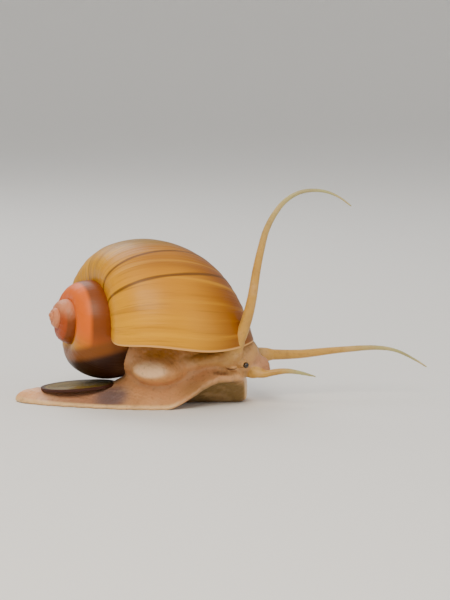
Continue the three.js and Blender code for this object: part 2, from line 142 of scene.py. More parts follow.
# Shell: lime laid down at the lip under a thin horny skin, as a tube wound to the right round an axis.
# Its sizes fall by the same share for each turn back from the lip, so all its whorls are alike, and each
# whorl is built onto the one before, where the suture shows as a groove.
APEX = np.array([-27.5, -4.5, 24.4])
AXIS_DIP = math.radians(8.4)
AXIS_SWING = math.radians(21.2)
GROWTH_OUT = 2.195
GROWTH_DOWN = 2.297
SHELL_TURNS = 4.6
PERIPHERY_RADIUS = 29.1
PERIPHERY_DEPTH = 33.0
SHOULDER_DEPTH = 13.1
BASE_DEPTH = 54.1
TUBE_RADIUS_MIDDLE = 17.5
UMBILICUS_RADIUS = 1.7
SHOULDER_POWER = 1.92
BASE_POWER = 1.88
LIP_ROLL = math.radians(3.4)
LIP_BACK = 0.02
LIP_BASE_BACK = 0.14
LIP_SUTURE_FORWARD = 0.12
LIP_SUTURE_POWER = 4
LIP_WALL = 0.5
WALL = 1.2
THICKENS_OVER = 0.05
RECESS_TURN = 0.27
OLDER_LENGTH = 0.5
HOLLOW_PAST_LIP = 0.02
HOLLOW_BACK_WALL = 0.03
ROUGH_TUBE_RADIUS = 14

axis = np.array([
    math.cos(AXIS_DIP) * math.cos(AXIS_SWING),
    math.cos(AXIS_DIP) * math.sin(AXIS_SWING),
    -math.sin(AXIS_DIP),
])
near = np.array([0, -1, 0]) + axis * axis[1]
near /= np.linalg.norm(near)
top = np.cross(near, axis)
lipward = near * math.cos(LIP_ROLL) - top * math.sin(LIP_ROLL)
topward = near * math.sin(LIP_ROLL) + top * math.cos(LIP_ROLL)


def add_node(tree, kind, inputs=(), **settings):
    """Adds a node with its settings, and gives each input a value or a link. Returns its outputs."""
    made = tree.nodes.new(kind)
    for name, value in settings.items():
        setattr(made, name, value)
    for key, value in inputs.items() if isinstance(inputs, dict) else enumerate(inputs):
        if isinstance(value, bpy.types.NodeSocket):
            tree.links.new(value, made.inputs[key])
        else:
            made.inputs[key].default_value = value
    return made.outputs


def sheet_tree(name, sizes, table):
    """A tree of geometry nodes with a named input for each size, and a flat sheet that runs from 0 to 1 along
    X and Y. A table of sums is worked out for each of its points. Returns the tree, sheet, sums and keys."""
    kinds = {float: "NodeSocketFloat", int: "NodeSocketInt", list: "NodeSocketVector"}
    tree = bpy.data.node_groups.new(name, "GeometryNodeTree")
    tree.interface.new_socket("Geometry", in_out="OUTPUT", socket_type="NodeSocketGeometry")
    keys = {}
    for size, value in sizes.items():
        kind = kinds[type(value)]
        keys[size] = tree.interface.new_socket(size, in_out="INPUT", socket_type=kind).identifier
    given = add_node(tree, "NodeGroupInput")
    sheet = {"Size X": 1.0, "Size Y": 1.0, "Vertices X": given["Rows"], "Vertices Y": given["Columns"]}
    sheet = add_node(tree, "GeometryNodeMeshGrid", sheet)["Mesh"]
    flat = add_node(tree, "GeometryNodeInputPosition")[0]
    flat = add_node(tree, "ShaderNodeVectorMath", (flat, (0.5, 0.5, 0.0)), operation="ADD")[0]
    flat = add_node(tree, "ShaderNodeSeparateXYZ", (flat,))
    sums = {size: given[size] for size in sizes} | {"x": flat[0], "y": flat[1]}
    for result, operation, *terms in table:
        terms = [sums.get(term, term) for term in terms]
        sums[result] = add_node(tree, "ShaderNodeMath", terms, operation=operation)[0]
    return tree, sheet, sums, keys


def end_tree(tree, sheet, material):
    """Ends a tree in plain geometry of one material."""
    sheet = add_node(tree, "GeometryNodeRealizeInstances", (sheet,))[0]
    sheet = add_node(tree, "GeometryNodeSetMaterial", {"Geometry": sheet, "Material": material})[0]
    add_node(tree, "NodeGroupOutput", (sheet,))


def settled(thing):
    """Makes what an object's modifier gives into its own plain mesh, and takes the modifier off."""
    bpy.context.view_layer.update()
    shown = thing.evaluated_get(bpy.context.evaluated_depsgraph_get())
    mesh = bpy.data.meshes.new_from_object(shown)
    thing.modifiers.clear()
    thing.data = mesh
    return thing


def shaped(name, tree, keys, sizes):
    """A plain mesh object at the origin, made by a tree with the given sizes."""
    thing = mesh_object(name, [], [], card)
    maker = thing.modifiers.new("shape", "NODES")
    maker.node_group = tree
    for size, value in sizes.items():
        maker[keys[size]] = value
    return settled(thing)


# The tube is a flat grid wound up: its X runs back along the whorls and its Y goes round the section. The
# first and last rows close the ends. Lengths are in metres, turns are counted back from the lip.
TUBE_SIZES = {
    "Start Turn": 0.0,
    "End Turn": RECESS_TURN,
    "Grow At Lip": 0.0,
    "Grow Behind": 0.0,
    "Rows": 48,
    "Columns": 151,
    "Thickens Over": THICKENS_OVER,
    "Periphery Radius": PERIPHERY_RADIUS * MM,
    "Periphery Depth": PERIPHERY_DEPTH * MM,
    "Shoulder Depth": SHOULDER_DEPTH * MM,
    "Base Depth": BASE_DEPTH * MM,
    "Tube Middle": TUBE_RADIUS_MIDDLE * MM,
    "Umbilicus Radius": UMBILICUS_RADIUS * MM,
    "Shoulder Power": SHOULDER_POWER,
    "Base Power": BASE_POWER,
    "Growth Out": GROWTH_OUT,
    "Growth Down": GROWTH_DOWN,
    "Lip Back": LIP_BACK,
    "Lip Base Back": LIP_BASE_BACK,
    "Lip Suture Forward": LIP_SUTURE_FORWARD,
    "Apex": (APEX * MM).tolist(),
    "Toward Lip": lipward.tolist(),
    "Toward Top": topward.tolist(),
    "Along Axis": axis.tolist(),
}
TUBE_SUMS = (
    ("last row", "SUBTRACT", "Rows", 1.0),
    ("row", "MULTIPLY", "x", "last row"),
    ("rows left", "SUBTRACT", "last row", "row"),
    ("rows from end", "MINIMUM", "row", "rows left"),
    ("not a cap", "GREATER_THAN", "rows from end", 0.5),
    ("rows of tube", "SUBTRACT", "last row", 2.0),
    ("share", "SUBTRACT", "row", 1.0),
    ("share", "DIVIDE", "share", "rows of tube"),
    ("share", "MAXIMUM", "share", 0.0),
    ("share", "MINIMUM", "share", 1.0),
    ("turns", "SUBTRACT", "End Turn", "Start Turn"),
    ("turn", "MULTIPLY_ADD", "share", "turns", "Start Turn"),
    ("angle", "MULTIPLY", "y", TWO_PI),
    ("across", "COSINE", "angle"),
    ("across", "MULTIPLY", "across", "not a cap"),
    ("along", "SINE", "angle"),
    ("along", "MULTIPLY", "along", "not a cap"),
    ("at base", "GREATER_THAN", "along", 0.0),
    ("more power", "SUBTRACT", "Base Power", "Shoulder Power"),
    ("power", "MULTIPLY_ADD", "at base", "more power", "Shoulder Power"),
    ("bend", "DIVIDE", 2.0, "power"),
    ("facing bend", "SUBTRACT", 2.0, "bend"),
    ("shoulder drop", "SUBTRACT", "Periphery Depth", "Shoulder Depth"),
    ("base drop", "SUBTRACT", "Base Depth", "Periphery Depth"),
    ("more drop", "SUBTRACT", "base drop", "shoulder drop"),
    ("drop", "MULTIPLY_ADD", "at base", "more drop", "shoulder drop"),
    ("outer", "SUBTRACT", "Periphery Radius", "Tube Middle"),
    ("inner", "SUBTRACT", "Tube Middle", "Umbilicus Radius"),
    ("side", "SIGN", "along"),
    ("size", "ABSOLUTE", "along"),
    ("height", "POWER", "size", "bend"),
    ("height", "MULTIPLY", "height", "side"),
    ("depth", "MULTIPLY_ADD", "height", "drop", "Periphery Depth"),
    ("outward", "MAXIMUM", "across", 0.0),
    ("inward", "MINIMUM", "across", 0.0),
    ("reach", "POWER", "outward", "bend"),
    ("radius", "MULTIPLY_ADD", "reach", "outer", "Tube Middle"),
    ("radius", "MULTIPLY_ADD", "inward", "inner", "radius"),
    ("facing out", "POWER", "outward", "facing bend"),
    ("facing out", "MULTIPLY", "facing out", "power"),
    ("facing out", "DIVIDE", "facing out", "outer"),
    ("facing in", "DIVIDE", "inward", "inner"),
    ("facing out", "MULTIPLY_ADD", "facing in", 2.0, "facing out"),
    ("facing down", "POWER", "size", "facing bend"),
    ("facing down", "MULTIPLY", "facing down", "power"),
    ("facing down", "MULTIPLY", "facing down", "side"),
    ("facing down", "DIVIDE", "facing down", "drop"),
    ("facing", "MULTIPLY", "facing down", "facing down"),
    ("facing", "MULTIPLY_ADD", "facing out", "facing out", "facing"),
    ("facing", "SQRT", "facing"),
    ("behind", "DIVIDE", "turn", "Thickens Over"),
    ("behind", "MAXIMUM", "behind", 0.0),
    ("behind", "MINIMUM", "behind", 1.0),
    ("more grow", "SUBTRACT", "Grow Behind", "Grow At Lip"),
    ("grow", "MULTIPLY_ADD", "behind", "more grow", "Grow At Lip"),
    ("grow", "DIVIDE", "grow", "facing"),
    ("low", "MAXIMUM", "height", 0.0),
    ("low", "MULTIPLY", "low", "low"),
    ("high", "MINIMUM", "height", 0.0),
    ("high", "ABSOLUTE", "high"),
    ("high", "POWER", "high", float(LIP_SUTURE_POWER)),
    ("high", "MULTIPLY", "high", "Lip Suture Forward"),
    ("bow", "MULTIPLY_ADD", "low", "Lip Base Back", "Lip Back"),
    ("bow", "SUBTRACT", "bow", "high"),
    ("back", "MULTIPLY", "turn", TWO_PI),
    ("fade", "MAXIMUM", "back", 0.0),
    ("fade", "MULTIPLY", "fade", -1.0),
    ("fade", "EXPONENT", "fade"),
    ("back", "MULTIPLY_ADD", "bow", "fade", "back"),
    ("whorls", "DIVIDE", "back", -TWO_PI),
    ("out", "POWER", "Growth Out", "whorls"),
    ("out", "MULTIPLY", "out", "radius"),
    ("out", "MULTIPLY_ADD", "grow", "facing out", "out"),
    ("down", "POWER", "Growth Down", "whorls"),
    ("down", "MULTIPLY", "down", "depth"),
    ("down", "MULTIPLY_ADD", "grow", "facing down", "down"),
    ("to lip", "COSINE", "back"),
    ("to lip", "MULTIPLY", "to lip", "out"),
    ("to top", "SINE", "back"),
    ("to top", "MULTIPLY", "to top", "out"),
)
tube_tree, sheet, sums, tube_keys = sheet_tree("wound_tube", TUBE_SIZES, TUBE_SUMS)
spot = sums["Apex"]
for distance, way in (("to lip", "Toward Lip"), ("to top", "Toward Top"), ("down", "Along Axis")):
    spot = (sums[distance], sums[way], spot)
    spot = add_node(tube_tree, "ShaderNodeVectorMath", spot, operation="MULTIPLY_ADD")[0]
sheet = add_node(tube_tree, "GeometryNodeSetPosition", {"Geometry": sheet, "Position": spot})[0]
sheet = add_node(tube_tree, "GeometryNodeMergeByDistance", {"Geometry": sheet, "Distance": 1e-6})[0]
sheet = add_node(tube_tree, "GeometryNodeFlipFaces", (sheet,))[0]
end_tree(tube_tree, sheet, card)


def tube_length(name, start, end, rows, sides, grow, lip_grow=None):
    """A closed length of the tube between two turns, moved out from its surface by grow mm."""
    lip_grow = grow if lip_grow is None else lip_grow
    ends = {"Start Turn": float(start), "End Turn": float(end)}
    grid = {"Rows": int(rows) + 2, "Columns": int(sides) + 1}
    walls = {"Grow Behind": grow * MM, "Grow At Lip": lip_grow * MM}
    return shaped(name, tube_tree, tube_keys, TUBE_SIZES | ends | grid | walls)


def joined(whole, others, operation):
    """Joins other solids to one, or cuts them from it, and removes them."""
    pieces = bpy.data.collections.new("pieces")
    bpy.context.scene.collection.children.link(pieces)
    for other in others:
        bpy.context.scene.collection.objects.unlink(other)
        pieces.objects.link(other)
    cut = whole.modifiers.new("join", "BOOLEAN")
    cut.operation = operation
    cut.operand_type = "COLLECTION"
    cut.collection = pieces
    cut.solver = "MANIFOLD"
    settled(whole)
    for other in others:
        bpy.data.objects.remove(other)
    bpy.data.collections.remove(pieces)
    return whole


def wound_shell(grow, start, sides, rows):
    """The whole shell as a solid: the last whorl hollowed behind a thin lip, the older ones joined on."""
    mouth = tube_length("shell", start, RECESS_TURN, rows, sides, grow)
    ends = (start - HOLLOW_PAST_LIP, RECESS_TURN - HOLLOW_BACK_WALL)
    hollow = tube_length("hollow", *ends, rows, sides, -WALL - grow, -LIP_WALL - grow)
    joined(mouth, [hollow], "DIFFERENCE")
    older = []
    for begin in np.arange(RECESS_TURN, SHELL_TURNS, OLDER_LENGTH):
        end = min(begin + OLDER_LENGTH, SHELL_TURNS)
        fineness = max(0.25, 0.85 ** (begin / OLDER_LENGTH))
        older.append(tube_length("older", begin, end, rows * 1.5 * fineness, sides * fineness, grow))
    return joined(mouth, older, "UNION")


def lip_bow(depth, back):
    """How far a growth line is bowed back round the axis at a depth, most of all at the lip."""
    low = np.clip((depth - PERIPHERY_DEPTH) / (BASE_DEPTH - PERIPHERY_DEPTH), 0, 1)
    high = np.clip((PERIPHERY_DEPTH - depth) / (PERIPHERY_DEPTH - SHOULDER_DEPTH), 0, 1)
    bow = LIP_BACK + LIP_BASE_BACK * low**2 - LIP_SUTURE_FORWARD * high**LIP_SUTURE_POWER
    return bow * np.exp(-np.maximum(back, 0))


def read_shell(points, back):
    """Turn, section angle and rough height over the tube for points at given angles back round the axis."""
    off = points - APEX
    radius = np.hypot(off @ lipward, off @ topward) * GROWTH_OUT ** (back / TWO_PI)
    depth = (off @ axis) * GROWTH_DOWN ** (back / TWO_PI)
    low_side = depth > PERIPHERY_DEPTH
    drop = np.where(low_side, BASE_DEPTH - PERIPHERY_DEPTH, PERIPHERY_DEPTH - SHOULDER_DEPTH)
    along = (depth - PERIPHERY_DEPTH) / drop
    power = np.where(low_side, BASE_POWER, SHOULDER_POWER)
    outer = (radius - TUBE_RADIUS_MIDDLE) / (PERIPHERY_RADIUS - TUBE_RADIUS_MIDDLE)
    inner = (radius - TUBE_RADIUS_MIDDLE) / (TUBE_RADIUS_MIDDLE - UMBILICUS_RADIUS)
    cosine = np.where(outer > 0, np.abs(outer) ** (power / 2), inner)
    sine = np.sign(along) * np.abs(along) ** (power / 2)
    height = (np.hypot(cosine, sine) ** (2 / power) - 1) * ROUGH_TUBE_RADIUS * GROWTH_OUT ** (-back / TWO_PI)
    straight = back
    for _ in range(3):
        straight = back - lip_bow(depth, straight)
    return straight / TWO_PI, np.arctan2(sine, cosine), height


def angle_back(points):
    """Angle of points back round the axis from the lip, less than one turn."""
    off = points - APEX
    return np.arctan2(off @ topward, off @ lipward) % TWO_PI


AHEAD_OF_LIP = -0.04
RULED_OUT = 99


def find_whorl(points):
    """Angle back round the axis, turns counted, of the whorl whose surface each point lies nearest."""
    once = angle_back(points)
    choices = np.stack([once + TWO_PI * whorl for whorl in range(-1, 6)])
    readings = [read_shell(points, back) for back in choices]
    misfit = np.stack([np.abs(height) + RULED_OUT * (turn < AHEAD_OF_LIP) for turn, _, height in readings])
    return choices[misfit.argmin(0), np.arange(len(points))]


def mesh_values(sequence, name, width=1, kind=float):
    """An array of one property of a mesh's vertices, loops or polygons."""
    values = np.zeros(len(sequence) * width, kind)
    sequence.foreach_get(name, values)
    return values.reshape(-1, width) if width > 1 else values


def store(mesh, name, values, domain):
    """Keeps one number for each point or face corner of a mesh, for its material to read."""
    layer = mesh.attributes.new(name, "FLOAT", domain)
    layer.data.foreach_set("value", np.asarray(values, np.float32))


def ramp(value):
    """Goes smoothly from 0 to 1 as the value does."""
    t = np.clip(value, 0, 1)
    return t * t * (3 - 2 * t)


SHELL_SIDES = 150
MOUTH_ROWS = 46
shell = wound_shell(0.0, 0.0, SHELL_SIDES, MOUTH_ROWS)
shell_mesh = shell.data
spots = mesh_values(shell_mesh.vertices, "co", 3) / MM


def grown_length(turn):
    """Length of shell grown since a turn, in mm along the periphery."""
    return TWO_PI * PERIPHERY_RADIUS * (1 - GROWTH_OUT ** -np.maximum(turn, 0)) / math.log(GROWTH_OUT)


# Its surface has low swells where growth slowed, and the oldest whorls are worn and pitted. Each swell has
# its waves in radians for each mm grown, its start, its sway over the section and its share. Each wave of the
# pits has its axis, its radians for each mm and its start.
SWELL_HEIGHT = 0.05
SWELLS = ((1.31, 0, 0.6, 1), (2.17, 1.1, 0, 0.7), (0.83, 0, 0, 0.5))
PIT_DEPTH = 0.12
PITS = ((0, 5.1, 0), (1, 4.3, 1), (2, 4.7, 0))
WORN_TURN = 1.45
turn, angle, height = read_shell(spots, find_whorl(spots))
grown = grown_length(turn)
swell = sum(part * np.sin(grown * wave + start + sway * np.sin(angle)) for wave, start, sway, part in SWELLS)
worn = np.clip((turn - WORN_TURN) / 0.4, 0, 1)
pits = np.prod([np.sin(spots[:, a] * wave + start) for a, wave, start in PITS], axis=0)
raised = SWELL_HEIGHT * swell * np.exp(-turn) * (1 - worn) + PIT_DEPTH * pits * worn
raised *= (height > -0.4) * np.clip(grown / 2, 0, 1)
normals = mesh_values(shell_mesh.vertices, "normal", 3)
shell_mesh.vertices.foreach_set("co", ((spots + normals * raised[:, None]) * MM).ravel())

# The colours follow the growth: each face's corners know how far back from the lip they lie, and where
# on the section, so that the join between two whorls stays sharp.
MARK_SKEW = 0.0003
MARK_CURVE = 1.1e-6
# Painted shade on the older whorls' underside grows with depth below a height that rises towards the head.
DARK_TOP, DARK_RISE, DARK_REACH = 20.6, 0.26, 12
corners = mesh_values(shell_mesh.loops, "vertex_index", kind=int)
face_corners = mesh_values(shell_mesh.polygons, "loop_total", kind=int)
owner = np.repeat(np.arange(len(face_corners)), face_corners)
centres = np.zeros((len(face_corners), 3))
np.add.at(centres, owner, spots[corners])
centres /= np.bincount(owner)[:, None]
face_back = find_whorl(centres)
face_turn, _, face_height = read_shell(centres, face_back)
once = angle_back(spots[corners])
corner_back = once + TWO_PI * np.round((face_back[owner] - once) / TWO_PI)
turn, angle, height = read_shell(spots[corners], corner_back)
section = np.degrees(angle)
x, y, z = spots[corners].T
dark_below = DARK_TOP + DARK_RISE * (x + 20) - z
for name, values in {
    "turn": turn,
    "section": section,
    "grown_mm": grown_length(turn),
    "mark_turn": turn - section * (MARK_SKEW + MARK_CURVE * section),
    "inside": (face_height[owner] < -0.25) & (face_turn[owner] < RECESS_TURN),
    "underside_shade": ramp((turn - 0.5) / 0.2) * dark_below / DARK_REACH,
}.items():
    store(shell_mesh, name, values, "CORNER")
shell_mesh.polygons.foreach_set("use_smooth", [True] * len(shell_mesh.polygons))
shell_mesh.set_sharp_from_angle(angle=math.radians(32))


# Snail shell, satin: the horny skin gives a soft shine over lime. Growth lines lie about 0.6 mm apart,
# two brown marks show where growth rested, and the old whorls are orange, with painted shade by the suture
# and painted shade below, and chalky at the apex. The section has a painted highlight above and painted shade
# towards the base.
def layered(tree, colour, layers):
    """Lays colours over one another. Each layer is a value or the name of a stored one, where its share
    starts and ends, its share at the end, and its colour."""
    for value, start, end, share, hex_colour in layers:
        if isinstance(value, str):
            value = add_node(tree, "ShaderNodeAttribute", attribute_name=value)["Fac"]
        reach = {"Value": value, "From Min": start, "From Max": end, "To Max": share}
        amount = add_node(tree, "ShaderNodeMapRange", reach, interpolation_type="SMOOTHSTEP")[0]
        mix = {0: amount, 6: colour, 7: linear(hex_colour)}
        colour = add_node(tree, "ShaderNodeMix", mix, data_type="RGBA")[2]
    return colour


GROWTH_LINE_MM = 0.6
STREAK_MM = 2.4
CLOUD_MM = 11.111
GRAIN_MM = 0.7143
REST_MARKS = ((0.187, 0.0042, 0.8), (0.1266, 0.0046, 0.85), (0.31, 0.004, 0.5), (0.46, 0.004, 0.4))
satin, tree, shader = new_material(
    "snail_shell_satin",
    IOR=1.53,
    Specular_IOR_Level=0.25,
    Coat_Weight=0.1,
    Coat_Roughness=0.25,
)
turn_at, section_at, grown_at, mark_at = [
    add_node(tree, "ShaderNodeAttribute", attribute_name=name)["Fac"]
    for name in ("turn", "section", "grown_mm", "mark_turn")
]
place = add_node(tree, "ShaderNodeTexCoord")["Object"]
noises = []
for spacing, spread, detail in ((STREAK_MM, 0.006, 4.0), (GROWTH_LINE_MM, 0.012, 3.0)):
    lengthways = add_node(tree, "ShaderNodeMath", (grown_at, 1 / spacing), operation="MULTIPLY")[0]
    crossways = add_node(tree, "ShaderNodeMath", (section_at, spread), operation="MULTIPLY")[0]
    at = add_node(tree, "ShaderNodeCombineXYZ", (lengthways, crossways))[0]
    noises.append(add_node(tree, "ShaderNodeTexNoise", {"Vector": at, "Scale": 1.0, "Detail": detail})[0])
streaks, lines = noises
clouds, grain = [
    add_node(tree, "ShaderNodeTexNoise", {"Vector": place, "Scale": 1 / (size * MM), "Detail": detail})[0]
    for size, detail in ((CLOUD_MM, 3.0), (GRAIN_MM, 2.0))
]
colour = layered(tree, linear("#D69200"), (
    (turn_at, 0.0, 0.13, 1.0, "#C88200"),
    (turn_at, 0.125, 0.15, 1.0, "#AC6C00"),
    (turn_at, 0.19, 0.235, 1.0, "#90680A"),
    (turn_at, 0.34, 0.60, 1.0, "#8C5806"),
    # painted highlight: the upper part of each whorl's section is lighter gold
    (section_at, -20.0, -75.0, 0.6, "#E09C00"),
    # painted shade: the section goes darker brown, then deep brown, towards the base of each whorl
    (section_at, -10.0, 48.0, 0.92, "#824400"),
    (section_at, 55.0, 95.0, 1.0, "#5C3400"),
    (streaks, 0.50, 0.72, 0.45, "#EEAA00"),
    (streaks, 0.48, 0.25, 0.45, "#8A4E00"),
    (lines, 0.56, 0.70, 0.25, "#6C4000"),
))
for middle, width, share in REST_MARKS:
    wander = (streaks, width, middle - width / 2)
    wander = add_node(tree, "ShaderNodeMath", wander, operation="MULTIPLY_ADD")[0]
    apart = add_node(tree, "ShaderNodeMath", (mark_at, wander), operation="SUBTRACT")[0]
    apart = add_node(tree, "ShaderNodeMath", (apart,), operation="ABSOLUTE")[0]
    colour = layered(tree, colour, ((apart, width, width * 0.3, share, "#5C3604"),))
old = add_node(tree, "ShaderNodeMapRange", {"Value": turn_at, "From Min": 0.86, "From Max": 1.0})[0]
# painted shade: a brown band on the older whorls next to the suture, where shade falls
by_suture = {"Value": section_at, "From Min": -47.0, "From Max": -35.0}
by_suture = add_node(tree, "ShaderNodeMapRange", by_suture)[0]
old_whorl_suture_shade = add_node(tree, "ShaderNodeMath", (old, by_suture), operation="MULTIPLY")[0]
wear_edge = add_node(tree, "ShaderNodeMath", (clouds, 0.5, turn_at), operation="MULTIPLY_ADD")[0]
colour = layered(tree, colour, (
    (old, 0.0, 1.0, 1.0, "#DE6400"),
    (turn_at, 1.30, 1.50, 1.0, "#A44200"),
    (old_whorl_suture_shade, 0.0, 1.0, 1.0, "#7E3C00"),
    # painted shade: brown, then near black, on the older whorls' underside
    ("underside_shade", 0.30, 0.48, 1.0, "#7E4400"),
    ("underside_shade", 0.60, 0.80, 0.97, "#260A00"),
    (wear_edge, 2.25, 2.50, 1.0, "#CE8258"),
    (grown_at, 0.75, 0.3, 1.0, "#D9A05A"),
    ("inside", 0.0, 1.0, 1.0, "#BE8238"),
))
tree.links.new(colour, shader.inputs["Base Color"])
rough = add_node(tree, "ShaderNodeMath", (clouds, 0.16, 0.34), operation="MULTIPLY_ADD")[0]
tree.links.new(rough, shader.inputs["Roughness"])
relief = add_node(tree, "ShaderNodeMath", (streaks, 0.9, lines), operation="MULTIPLY_ADD")[0]
relief = add_node(tree, "ShaderNodeMath", (grain, 0.12, relief), operation="MULTIPLY_ADD")[0]
bump = add_node(tree, "ShaderNodeBump", {"Height": relief, "Strength": 0.45, "Distance": 0.22 * MM})[0]
tree.links.new(bump, shader.inputs["Normal"])
shell_mesh.materials.clear()
shell_mesh.materials.append(satin)
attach(shell, "root")
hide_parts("shell")

# Flesh: one moist skin over the foot, body, head and every feeler, as a live snail has, round the shell's
# mouth. It is found as the surface of rounded forms that run into one another, on a grid of distances.
CELL = 0.34
FLESH_LOW = np.array([-39.0, -18.0, -1.5])
FLESH_HIGH = np.array([78.0, 24.0, 61.5])
FAR = 6.0
counts = np.ceil((FLESH_HIGH - FLESH_LOW) / CELL).astype(int) + 1
field = np.full(counts, FAR, np.float32)
grid_lines = [FLESH_LOW[a] + CELL * np.arange(counts[a]) for a in range(3)]


def soft_min(a, b, blend):
    """The lesser of two distances, run into one another over a width."""
    share = np.maximum(blend - np.abs(a - b), 0) / blend
    return np.minimum(a, b) - share * share * blend / 4


def melt(form, blend, cut=False):
    """Runs a form into the flesh within reach of the form, or cuts it out."""
    distance_to, low, high = form
    window = []
    for a in range(3):
        first = max(0, int((low[a] - 4 - FLESH_LOW[a]) / CELL))
        last = min(counts[a], int((high[a] + 4 - FLESH_LOW[a]) / CELL) + 2)
        window.append(slice(first, last))
    window = tuple(window)
    x, y, z = np.meshgrid(*[grid_lines[a][window[a]] for a in range(3)], indexing="ij", sparse=True)
    distance = distance_to(x, y, z)
    if cut:
        field[window] = -soft_min(-field[window], distance, blend)
    else:
        field[window] = soft_min(field[window], distance, blend)


def ellipsoid(centre, reach):
    """An ellipsoid as its distance, lowest corner and highest corner."""

    def distance(x, y, z):
        off = (x - centre[0], y - centre[1], z - centre[2])
        near = np.sqrt(sum((off[a] / reach[a]) ** 2 for a in range(3)))
        far = np.sqrt(sum((off[a] / reach[a] ** 2) ** 2 for a in range(3)))
        return near * (near - 1) / np.maximum(far, 1e-6)

    return distance, np.subtract(centre, reach), np.add(centre, reach)


def taper(start, end, radius_start, radius_end):
    """A round-ended cone as its distance, lowest corner and highest corner."""
    start, end = np.array(start, float), np.array(end, float)
    run = end - start

    def distance(x, y, z):
        off = (x - start[0], y - start[1], z - start[2])
        share = np.clip(sum(off[a] * run[a] for a in range(3)) / (run @ run), 0, 1)
        gap = np.sqrt(sum((off[a] - share * run[a]) ** 2 for a in range(3)))
        return gap - radius_start - share * (radius_end - radius_start)

    reach = max(radius_start, radius_end)
    return distance, np.minimum(start, end) - reach, np.maximum(start, end) + reach


def between(t, start, end, leave, arrive, span):
    """A smooth curve over a span, at a share of it, between two values with their slopes."""
    start_share = 2 * t**3 - 3 * t**2 + 1
    bent = (t**3 - 2 * t**2 + t) * leave + (t**3 - t**2) * arrive
    return start_share * start + (1 - start_share) * end + bent * span


def through(stations, x):
    """A smooth curve of a value through a few stations."""
    xs, ys = np.array(stations, float).T
    slope = np.zeros(len(xs))
    slope[1:-1] = (ys[2:] - ys[:-2]) / (xs[2:] - xs[:-2])
    slope[0] = (ys[1] - ys[0]) / (xs[1] - xs[0])
    slope[-1] = (ys[-1] - ys[-2]) / (xs[-1] - xs[-2])
    x = np.clip(x, xs[0], xs[-1])
    i = np.clip(np.searchsorted(xs, x, side="right") - 1, 0, len(xs) - 2)
    span = xs[i + 1] - xs[i]
    return between((x - xs[i]) / span, ys[i], ys[i + 1], slope[i], slope[i + 1], span)


# The foot is a flat sole with thin, slightly wavy margins and a low back. Its front right part is lifted.
FOOT_TAIL_X = -37.1
FOOT_FRONT_X = 26.6
FOOT_HALF_WIDTH = (
    (-37, 0.6), (-35.2, 3), (-30.5, 6), (-20, 10), (-8, 13.2), (0, 14),
    (10, 13.4), (18, 11.6), (23, 10), (25.5, 8), (27, 3),
)
FOOT_BACK = (
    (-37, 1.6), (-35, 3), (-33, 3.5), (-30, 3.9), (-26, 4.1), (-20, 4.3), (-14, 4.8),
    (-10.5, 5.4), (-8, 6.6), (-4, 8), (8, 9.4), (18, 9), (24, 8.6), (27, 7.5),
)
MARGIN = 1.0
FRONT_MARGIN = 2.0
MARGIN_WAVE, MARGIN_RIPPLE = 0.22, 0.12
FRONT_ROUND = 3.2
LIFT = 7.0
LIFT_FROM_X, LIFT_RUN = 4.0, 16.0
LIFT_FROM_Y, LIFT_ACROSS = -1.0, 8.0


def foot_distance(x, y, z):
    """Distance to the foot."""
    width = through(FOOT_HALF_WIDTH, x)
    slope = (through(FOOT_HALF_WIDTH, x + 0.3) - through(FOOT_HALF_WIDTH, x - 0.3)) / 0.6
    wave = MARGIN_WAVE * np.sin(x * 1.25 + 0.8 * np.sin(x * 0.31)) + MARGIN_RIPPLE * np.sin(x * 2.9 + 1)
    wave *= ramp(width / 6)
    front = ramp((x - LIFT_FROM_X) / LIFT_RUN)
    lift = LIFT * front * ramp((LIFT_FROM_Y - y) / LIFT_ACROSS)
    margin = MARGIN + (FRONT_MARGIN - MARGIN) * front
    crown = np.cos(math.pi / 2 * np.clip(np.abs(y) / width, 0, 1)) ** 1.5
    top_here = lift + margin + (through(FOOT_BACK, x) - margin) * crown
    slab = soft_min(0.85 * (top_here - z), z - lift, 0.7)
    side = np.maximum((np.abs(y) - width - wave) / np.sqrt(1 + slope**2), FOOT_TAIL_X - x)
    return -soft_min(soft_min(slab, -side, 1.0), FOOT_FRONT_X - x, FRONT_ROUND)


melt((foot_distance, (FOOT_TAIL_X, -14.5, 0), (FOOT_FRONT_X, 14.5, 19)), 0.5)

# Above it come the stalk that goes up into the shell, the shoulder beside it, the neck with its side fold,
# the head, the snout with its two lips, and the tentacles' roots, each with the width of its join.
SNOUT_TIP = (29.6, -2.4, 10.3)
BODY_FORMS = (
    (ellipsoid((3, -1, 15.5), (14.5, 9.5, 9.5)), 3.0),
    (ellipsoid((2, -8.6, 10), (6.6, 5.1, 3.5)), 3.4),
    (taper((8, -1, 13.5), (20, -2, 13), 7.5, 6), 2.5),
    (taper((10.5, -8.8, 12), (22.5, -8.4, 14.2), 1.5, 1.9), 1.3),
    (ellipsoid((23.2, -1.6, 13.2), (6.4, 6.4, 5.4)), 2.0),
    (taper((24.5, -2, 11.6), SNOUT_TIP, 4, 2.7), 1.5),
    (taper((20.5, -7, 12.8), (23, -9, 15), 2.6, 2.0), 1.2),
    (taper((25.5, 2.5, 12.2), (29.4, 4.2, 12.2), 2.3, 1.7), 1.2),
    (ellipsoid((31.2, -1.5, 9.4), (1.3, 1.1, 1.8)), 0.8),
    (ellipsoid((31.2, -3.6, 9.4), (1.3, 1.1, 1.8)), 0.8),
    (ellipsoid((21.9, -9.9, 10.9), (1.6, 1.0, 0.9)), 0.7),
)
for form, blend in BODY_FORMS:
    melt(form, blend)

